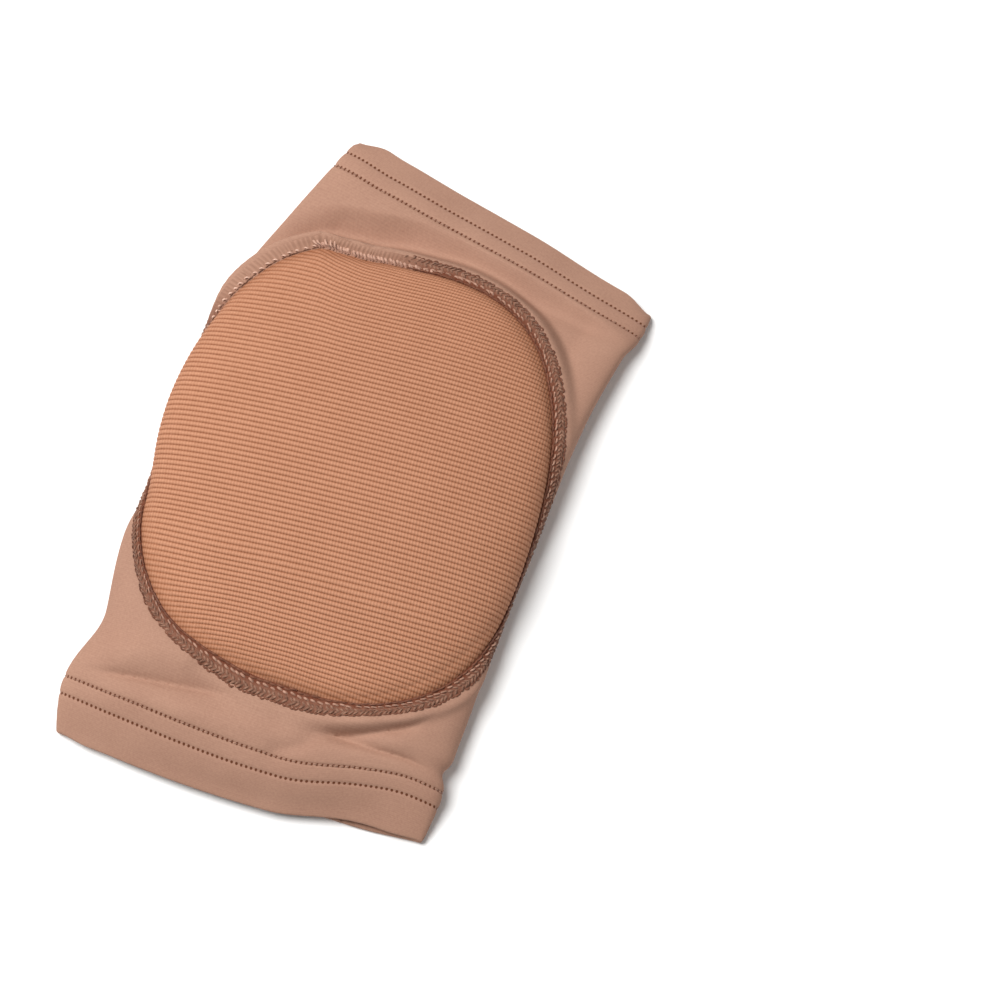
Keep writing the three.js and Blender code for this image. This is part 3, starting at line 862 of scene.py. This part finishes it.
SEAM_LENGTH = sewn_run[-1]


def sewn_place(run):
    """Places on the pad's own oval, by millimetres along the seam."""
    return np.stack([np.interp(run % SEAM_LENGTH, sewn_run, line) for line in sewn_line])


def seam_far(run):
    """1 where the seam lies at the pad's far end, and 0 elsewhere."""
    return swell(oval_degrees(*sewn_place(run)), *FAR_DEGREES)


NORMAL_STEP = 0.4


def round_way(y, around):
    """The cloth's own direction round the leg."""
    return on_cloth(y, around + NORMAL_STEP) - on_cloth(y, around - NORMAL_STEP)


def cloth_normal(y, around):
    lengthways = on_cloth(y + NORMAL_STEP, around) - on_cloth(y - NORMAL_STEP, around)
    normal = np.cross(round_way(y, around), lengthways)
    return normal / np.linalg.norm(normal, axis=-1, keepdims=True)


# The cloth along the seam as a grid, every so many millimetres along it and out from the pad's edge
SEAM_GRID = 0.75
SEAM_OUT = np.arange(-1.5, 6.1, SEAM_GRID)
HEADING_STEP = 2
grid_count = round(SEAM_LENGTH / SEAM_GRID)
grid_run = np.arange(grid_count) * SEAM_LENGTH / grid_count
heading = sewn_place(grid_run + HEADING_STEP) - sewn_place(grid_run - HEADING_STEP)
heading = heading / np.linalg.norm(heading, axis=0)
outwards = np.stack((heading[1], -heading[0]))
grid_place = sewn_place(grid_run)[:, :, None] + outwards[:, :, None] * SEAM_OUT
grid_round, grid_y = pad_to_cloth(*grid_place)
seam_points = on_cloth(grid_y, grid_round)
seam_normals = cloth_normal(grid_y, grid_round)

# By degrees round the pad: the share of its width that the seam keeps, as it is drawn in at the left
SEAM_TUCK = np.array(((0, 1), (170, 1), (196, 0.7), (212, 0.7), (228, 1), (360, 1)))


def on_pad_seam(run, out, up):
    """Points of the pad seam: millimetres along it, out from the pad's edge and up off the cloth."""
    run, out, up = np.broadcast_arrays(run, out, up)
    out = out * eased(*SEAM_TUCK.T, oval_degrees(*sewn_place(run)))
    row = run % SEAM_LENGTH * grid_count / SEAM_LENGTH
    column = np.clip((out - SEAM_OUT[0]) / SEAM_GRID, 0, len(SEAM_OUT) - 1.001)
    row_now = row.astype(int) % grid_count
    row_next = (row_now + 1) % grid_count
    column_now = column.astype(int)
    row_share = (row % 1)[..., None]
    column_share = (column % 1)[..., None]
    between = []
    for grid in (seam_points, seam_normals):
        now = grid[row_now, column_now] * (1 - column_share)
        now += grid[row_now, column_now + 1] * column_share
        following = grid[row_next, column_now] * (1 - column_share)
        following += grid[row_next, column_now + 1] * column_share
        between.append(now * (1 - row_share) + following * row_share)
    return between[0] + between[1] * up[..., None]


# The band's section as (out from the pad, up off the cloth), the step along it, its gathers with two
# slow waves that make them uneven, how much narrower it is at the far end, and where the painted shade
# on its inner side beside the pad fades out
BAND_PROFILE = np.array((
    (-0.6, -0.9), (4.3, -0.9), (4.3, -0.1), (3.9, 0.2), (3.2, 0.5), (2.2, 0.42), (1.4, 0.42),
    (0.6, 0.2), (0.0, -0.1), (-0.6, -0.3),
))
BAND_STEP = 0.42
BAND_LAST_GAP = 0.2
GATHER_HEIGHT = 0.16
GATHER_PITCH = 1.3
GATHER_SWAY = 1.4
GATHER_WAVES = (2.3, 1.1)
BAND_NARROWING = 0.1
BAND_SHADE_FADES = (0.8, 2.4)
band_run = np.arange(0, SEAM_LENGTH - BAND_LAST_GAP, BAND_STEP)
band_far = seam_far(band_run)
gather_phase = 2 * math.pi * band_run / GATHER_PITCH
gather_phase += GATHER_SWAY * np.sin(band_run / GATHER_WAVES[0]) + np.sin(band_run / GATHER_WAVES[1])
gathers = GATHER_HEIGHT * band_far * np.sin(gather_phase)
band_up = BAND_PROFILE[None, :, 1] + gathers[:, None] * (BAND_PROFILE[None, :, 1] > 0)
band_out = BAND_PROFILE[None, :, 0] * (1 - BAND_NARROWING * band_far[:, None])
band_points = on_pad_seam(band_run[:, None], band_out, band_up)
# painted shade of the gathers: 1 on their crests and 0 in their hollows
band_gather_shading = 0.5 + 0.5 * np.sin(gather_phase)
corner = np.arange(len(band_run) * len(BAND_PROFILE)).reshape(len(band_run), len(BAND_PROFILE))
ahead = np.roll(corner, -1, axis=0)
band_faces = np.stack((corner, ahead, np.roll(ahead, -1, axis=1), np.roll(corner, -1, axis=1)), axis=2)
pad_band = mesh_piece("pad_seam_band", band_points, band_faces.reshape(-1, 4).tolist())
paint(pad_band, "far", np.repeat(band_far, len(BAND_PROFILE)))
paint(pad_band, "gather_shading", np.repeat(band_gather_shading, len(BAND_PROFILE)))
paint(pad_band, "outer", np.tile(smooth(BAND_PROFILE[:, 0], *BAND_SHADE_FADES), len(band_run)))


def one_stitch(path, radius):
    """One stitch as a short thread along a path of (out, along, up): its points and faces."""
    curve = bpy.data.curves.new("stitch", "CURVE")
    curve.dimensions = "3D"
    curve.bevel_depth = radius
    curve.bevel_resolution = 1
    curve.resolution_u = 2
    curve.use_fill_caps = True
    spline = curve.splines.new("NURBS")
    spline.points.add(len(path) - 1)
    for point, place in zip(spline.points, path):
        point.co = (*place, 1)
    spline.order_u = 3
    spline.use_endpoint_u = True
    stitch = bpy.data.objects.new("stitch", curve)
    bpy.context.collection.objects.link(stitch)
    only(stitch)
    bpy.ops.object.convert(target="MESH")
    stitch = bpy.context.object
    points = np.array([v.co for v in stitch.data.vertices])
    faces = [list(face.vertices) for face in stitch.data.polygons]
    bpy.ops.object.delete()
    return points, faces


def copied_faces(faces, points, copies):
    """The faces of a stitch repeated for each of its copies."""
    all_faces = []
    for k in range(copies):
        all_faces += [[v + k * points for v in face] for face in faces]
    return all_faces


# Each stitch is a little uneven in size and place, and none goes below the table
uneven = np.random.default_rng(11)
STITCH_SIZE_SPREAD = 0.06
STITCH_PLACE_SPREAD = 0.07
LEAST_HEIGHT = 0.02


def sew(name, stitch, places, ahead, normal):
    """Copies of one stitch, each with its own small unevenness, set along a row as one object."""
    points, faces = stitch
    ahead = ahead / np.linalg.norm(ahead, axis=1, keepdims=True)
    right = np.cross(ahead, normal)
    right /= np.linalg.norm(right, axis=1, keepdims=True)
    normal = np.cross(right, ahead)
    scale = uneven.normal(1, STITCH_SIZE_SPREAD, (len(places), 1, 3))
    shift = uneven.normal(0, STITCH_PLACE_SPREAD, (len(places), 1, 3))
    local = points[None] * scale + shift
    axes = np.stack((right, ahead, normal), axis=1)
    copies = places[:, None] + np.einsum("npk,nkc->npc", local, axes)
    copies[..., 2] = np.maximum(copies[..., 2], LEAST_HEIGHT)
    return mesh_piece(name, copies, copied_faces(faces, len(points), len(places)))


def join(name, pieces):
    """Joins rows of stitches into one object."""
    bpy.ops.object.select_all(action="DESELECT")
    for piece in pieces:
        piece.select_set(True)
    bpy.context.view_layer.objects.active = pieces[0]
    bpy.ops.object.join()
    pieces[0].name = name
    pieces[0].data.name = name
    return pieces[0]


# Spun polyester sewing thread: matt, with a fine twist that breaks up its colour
THREAD_PATCH = 1.3
THREAD_TWIST = 0.35


def sewing_thread(name, light, dark):
    material, tree = new_material(name)
    place = add_node(tree, "ShaderNodeTexCoord")["Object"]
    patch = add_node(tree, "ShaderNodeTexNoise", {
        "Vector": place, "Scale": 1 / (THREAD_PATCH * MM), "Detail": 2.0,
    })[0]
    twist = add_node(tree, "ShaderNodeTexNoise", {
        "Vector": place, "Scale": 1 / (THREAD_TWIST * MM), "Detail": 1.0,
    })[0]
    tone = add_node(tree, "ShaderNodeMath", (patch, 2.2, -0.6), operation="MULTIPLY_ADD")[0]
    colour = add_node(tree, "ShaderNodeMix", {
        "Factor": tone, "A": linear(dark), "B": linear(light),
    }, data_type="RGBA")["Result"]
    bump = add_node(tree, "ShaderNodeBump", {
        "Height": twist, "Strength": 0.5, "Distance": 0.08 * MM,
    })[0]
    shader = add_node(tree, "ShaderNodeBsdfPrincipled", {
        "Base Color": colour, "Normal": bump, "Roughness": 0.72,
        "Specular IOR Level": 0.35, "Sheen Weight": 0.1,
    })[0]
    add_node(tree, "ShaderNodeOutputMaterial", (shader,))
    return material


# The overlocked edge of the cloth: brown with packed thread and painted shade on its inner side beside
# the pad, paler where the threads are drawn out, with painted shade in the gathers' hollows
BAND_LIGHT = "#845b49"
BAND_DARK = "#643320"
GATHER_LIGHT = "#a9816d"
GATHER_SHADE = "#95705d"
BAND_PATCH = 0.9


def overlocked_edge():
    material, tree = new_material("overlocked_knit_edge")
    place = add_node(tree, "ShaderNodeTexCoord")["Object"]
    patch = add_node(tree, "ShaderNodeTexNoise", {
        "Vector": place, "Scale": 1 / (BAND_PATCH * MM), "Detail": 3.0,
    })[0]
    # painted shade: darker on the inner side, under the pad's edge
    outer = add_node(tree, "ShaderNodeAttribute", attribute_name="outer")["Fac"]
    tone = add_node(tree, "ShaderNodeMath", (patch, 1.2, -0.5), operation="MULTIPLY_ADD")[0]
    tone = add_node(tree, "ShaderNodeMath", (outer, 0.6, tone), operation="MULTIPLY_ADD")[0]
    brown = add_node(tree, "ShaderNodeMix", {
        "Factor": tone, "A": linear(BAND_DARK), "B": linear(BAND_LIGHT),
    }, data_type="RGBA")["Result"]
    far = add_node(tree, "ShaderNodeAttribute", attribute_name="far")["Fac"]
    # painted shade: darker in the hollows of the gathers
    gather_shading = add_node(tree, "ShaderNodeAttribute", attribute_name="gather_shading")["Fac"]
    gathered = add_node(tree, "ShaderNodeMix", {
        "Factor": gather_shading, "A": linear(GATHER_SHADE), "B": linear(GATHER_LIGHT),
    }, data_type="RGBA")["Result"]
    colour = add_node(tree, "ShaderNodeMix", {
        "Factor": far, "A": brown, "B": gathered,
    }, data_type="RGBA")["Result"]
    bump = add_node(tree, "ShaderNodeBump", {
        "Height": patch, "Strength": 0.6, "Distance": 0.2 * MM,
    })[0]
    shader = add_node(tree, "ShaderNodeBsdfPrincipled", {
        "Base Color": colour, "Normal": bump, "Roughness": 0.85, "Specular IOR Level": 0.2,
    })[0]
    add_node(tree, "ShaderNodeOutputMaterial", (shader,))
    return material


pad_band.data.materials.append(overlocked_edge())
light_thread = sewing_thread("light_polyester_thread", "#bb917c", "#8a624e")
brown_thread = sewing_thread("brown_polyester_thread", "#9a725d", "#664130")
dark_thread = sewing_thread("dark_polyester_thread", "#7d4e38", "#5c3220")
pink_thread = sewing_thread("pink_polyester_thread", "#cda48f", "#9a7260")
pale_thread = sewing_thread("pale_polyester_thread", "#ecc8b4", "#c0957f")

# The seam's stitches, each as (out from the pad, along the seam, up off the cloth)
NEEDLE_STITCH = (
    (1.15, -0.9, 0.1), (1.25, -0.5, 0.55), (1.35, 0.0, 0.7), (1.45, 0.5, 0.55), (1.55, 0.9, 0.1),
)
ROPE_INNER = ((2.2, -0.7, 0.1), (2.4, -0.4, 0.5), (2.65, 0.0, 0.65), (2.9, 0.4, 0.5), (3.1, 0.7, 0.1))
ROPE_OUTER = ((4.0, -0.7, 0.0), (3.8, -0.4, 0.45), (3.5, 0.0, 0.6), (3.25, 0.4, 0.45), (3.0, 0.7, 0.1))
EDGE_LOOP = (
    (4.1, -0.8, -0.1), (4.35, -0.45, 0.15), (4.45, 0.0, 0.2), (4.35, 0.45, 0.15), (4.1, 0.8, -0.1),
)
# the row beside the pad is a thread that paints the shade of the gap under the pad's edge
PAD_SHADE_ROW = ((0.3, -1.2, 0.0), (0.35, -0.6, 0.35), (0.4, 0.0, 0.45), (0.35, 0.6, 0.35), (0.3, 1.2, 0.0))
FAR_STITCH = ((0.5, -0.6, 0.1), (0.7, -0.3, 0.75), (0.95, 0.0, 0.95), (1.2, 0.3, 0.75), (1.4, 0.6, 0.1))
FAR_ROPE = ((0.4, -0.7, 0.2), (0.7, -0.4, 0.75), (1.15, 0.0, 1.0), (1.6, 0.4, 0.75), (1.9, 0.7, 0.2))
FAR_BUNCH = ((0.2, -1.0, 0.3), (0.8, -0.5, 1.2), (1.6, 0.0, 1.6), (2.4, 0.6, 1.1), (2.8, 0.9, 0.2))

# Each row's stitch, thread radius, spacing and thread, and the degrees round the pad where it comes up
# out of the band and sinks back into it
ROUND_PAD = (148, 158, 448, 464)
OVERLOCK = (
    (NEEDLE_STITCH, 0.3, 2.4, light_thread, ROUND_PAD),
    (ROPE_INNER, 0.33, 1.5, brown_thread, ROUND_PAD),
    (ROPE_OUTER, 0.33, 1.5, brown_thread, ROUND_PAD),
    (EDGE_LOOP, 0.25, 1.5, dark_thread, ROUND_PAD),
    (PAD_SHADE_ROW, 0.3, 2.4, dark_thread, ROUND_PAD),
    (FAR_ROPE, 0.44, 1.25, pink_thread, (88, 106, 118, 121)),
    (FAR_BUNCH, 0.32, 1.5, pink_thread, (116, 117, 121, 122)),
    (FAR_STITCH, 0.32, 2.5, pale_thread, (117, 120, 144, 154)),
    (PAD_SHADE_ROW, 0.22, 2.5, brown_thread, (117, 122, 150, 158)),
)
SEAM_UNEVEN = np.array((0.13, 0.28, 0.09))
SINKING = 0.8
rows = []
for path, radius, pitch, material, ends in OVERLOCK:
    count = round(SEAM_LENGTH / pitch)
    run = np.arange(count) * SEAM_LENGTH / count
    degrees = ends[0] + (oval_degrees(*sewn_place(run)) - ends[0]) % 360
    run, degrees = run[degrees < ends[3]], degrees[degrees < ends[3]]
    sunk = 1 - swell(degrees, *ends)
    points, faces = one_stitch(path, radius)
    local = points[None] + uneven.normal(0, 1, (len(run), 1, 3)) * SEAM_UNEVEN
    up = local[..., 2] - SINKING * sunk[:, None]
    stitches = on_pad_seam(run[:, None] + local[..., 1], local[..., 0], up)
    row = mesh_piece("overlock", stitches, copied_faces(faces, len(points), len(run)))
    row.data.materials.append(material)
    rows.append(row)
pad_threads = join("pad_seam_threads", rows)
for piece in (pad_band, pad_threads):
    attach(piece, "root")
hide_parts("pad_seam")

# Flat seams: the panels are butted and joined flat by three needle rows and by looper threads that
# cross between them, from hem to hem. The sleeve rests on them.
FLAT_PITCH = 2.2
FLAT_ROWS = (-2.6, 0.0, 2.6)
FLAT_THREAD = 0.2
FLAT_END = 2
FLAT_HEADING_STEP = 0.5
FLAT_NEEDLE = ((0.0, -0.8, 0.0), (0.0, -0.5, 0.2), (0.0, 0.0, 0.26), (0.0, 0.5, 0.2), (0.0, 0.8, 0.0))
FLAT_LOOPER = (
    (-2.9, -0.5, 0.05), (-1.4, -0.15, 0.16), (0.0, 0.0, 0.1), (1.4, 0.15, 0.16), (2.9, 0.5, 0.05),
)
FLAT_RETURN = (
    (-2.9, 1.6, 0.05), (-1.4, 1.25, 0.16), (0.0, 1.1, 0.1), (1.4, 0.95, 0.16), (2.9, 0.6, 0.05),
)


def on_flat_seam(y, side):
    return on_cloth(y, side * (half_round(y) - BACK_SEAM))


flat_y = np.arange(FIRST_Y + FLAT_END, LAST_Y - FLAT_END, FLAT_PITCH)
for node, side in (("left_back_seam", -1), ("right_back_seam", 1)):
    seam_round = side * (half_round(flat_y) - BACK_SEAM)
    lengthways = on_flat_seam(flat_y + FLAT_HEADING_STEP, side)
    lengthways -= on_flat_seam(flat_y - FLAT_HEADING_STEP, side)
    down = np.repeat(np.array(((0.0, 0.0, -1.0),)), len(flat_y), axis=0)
    rows = []
    for shift in FLAT_ROWS:
        place = on_cloth(flat_y, seam_round + shift)
        needle = one_stitch(FLAT_NEEDLE, FLAT_THREAD)
        rows.append(sew("flat_needle", needle, place, lengthways, down))
        rows[-1].data.materials.append(dark_thread)
    for path in (FLAT_LOOPER, FLAT_RETURN):
        looper = one_stitch(path, FLAT_THREAD)
        rows.append(sew("flat_looper", looper, on_flat_seam(flat_y, side), lengthways, down))
        rows[-1].data.materials.append(brown_thread)
    flat_threads = join(node + "_threads", rows)
    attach(flat_threads, "root")
    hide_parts(node)

# Hem stitches: two needle rows round each hem hold the turned-in cloth. The thread is spun polyester in
# the knit's own colour and is sunk into the cloth, so that the painted shade of the needle holes
# between stitches shows more.
HEM_THREAD = 0.16
HEM_THREAD_SUNK = 0.15
HEM_STITCH = ((0.0, -0.6, -0.3), (0.0, -0.35, 0.0), (0.0, 0.0, 0.1), (0.0, 0.35, 0.0), (0.0, 0.6, -0.3))
hem_thread = sewing_thread("hem_polyester_thread", KNIT_LIGHT, KNIT_DARK)
for node, edge, inward, needle_rows in HEMS:
    rows = []
    for needle_row in needle_rows:
        y = edge + inward * needle_row
        full = float(half_round(y)[0])
        around = np.arange(math.ceil(-full / STITCH_PITCH), int(full / STITCH_PITCH)) * STITCH_PITCH
        y = np.full(len(around), y)
        normal = cloth_normal(y, around)
        place = on_cloth(y, around) - normal * HEM_THREAD_SUNK
        stitch = one_stitch(HEM_STITCH, HEM_THREAD)
        rows.append(sew("hem_row", stitch, place, round_way(y, around), normal))
        rows[-1].data.materials.append(hem_thread)
    hem_stitches = join(node + "_stitches", rows)
    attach(hem_stitches, "root")

# Floor: a plain pale table top, matt and far wider than the part, so that no edge of it shows.
# It is part of the setting and not of the knee pad.
FLOOR_SIZE = 6
FLOOR_WHITE = "#fbfbfa"
bpy.ops.object.select_all(action="DESELECT")
bpy.ops.mesh.primitive_plane_add(size=FLOOR_SIZE, location=(0, 0, 0))
floor = bpy.context.object
floor.name = "floor"
floor_material, tree = new_material("pale_table")
shader = add_node(tree, "ShaderNodeBsdfPrincipled", {
    "Base Color": linear(FLOOR_WHITE), "Roughness": 0.9,
})[0]
add_node(tree, "ShaderNodeOutputMaterial", (shader,))
floor.data.materials.append(floor_material)

# Camera: high over the thigh end, turned a little to the right, as the photograph was taken. Its lens
# is a long one, and it aims to the right of the part, which lies at the left of the picture.
CAMERA_AZIMUTH = math.radians(21)
CAMERA_ELEVATION = math.radians(75)
CAMERA_DISTANCE = 1.1333
CAMERA_TARGET = Vector((0.0449, 0.0149, 0))
CAMERA_LENS = 120
CAMERA_SENSOR = 36
camera_data = bpy.data.cameras.new("camera")
camera_data.lens = CAMERA_LENS
camera_data.sensor_width = CAMERA_SENSOR
camera = bpy.data.objects.new("camera", camera_data)
bpy.context.collection.objects.link(camera)
back = Vector((
    math.sin(CAMERA_AZIMUTH) * math.cos(CAMERA_ELEVATION),
    -math.cos(CAMERA_AZIMUTH) * math.cos(CAMERA_ELEVATION),
    math.sin(CAMERA_ELEVATION),
))
right = Vector((math.cos(CAMERA_AZIMUTH), math.sin(CAMERA_AZIMUTH), 0))
up = back.cross(right)
turned = Matrix((right, up, back)).transposed().to_4x4()
camera.matrix_world = Matrix.Translation(CAMERA_TARGET + back * CAMERA_DISTANCE) @ turned
bpy.context.scene.camera = camera
bpy.context.scene.view_settings.view_transform = "Standard"

# Light: a dim white room, one large soft box high at the left and a weak one that fills in from the
# right.
ROOM_STRENGTH = 0.16
world = bpy.data.worlds.new("studio")
world.use_nodes = True
world.node_tree.nodes["Background"].inputs["Color"].default_value = (1, 1, 1, 1)
world.node_tree.nodes["Background"].inputs["Strength"].default_value = ROOM_STRENGTH
bpy.context.scene.world = world


def soft_box(name, place, size, power):
    """A round soft box that shines on the middle of the part: its place, width and watts."""
    data = bpy.data.lights.new(name, "AREA")
    data.shape = "DISK"
    data.size = size
    data.energy = power
    light = bpy.data.objects.new(name, data)
    bpy.context.collection.objects.link(light)
    light.location = place
    light.rotation_mode = "QUATERNION"
    light.rotation_quaternion = (-Vector(place)).to_track_quat("-Z", "Y")


soft_box("key_light", place=(-0.68, 0.1, 1.42), size=1.15, power=34.5)
soft_box("fill_light", place=(0.9, -0.1, 0.9), size=1.2, power=2.2)
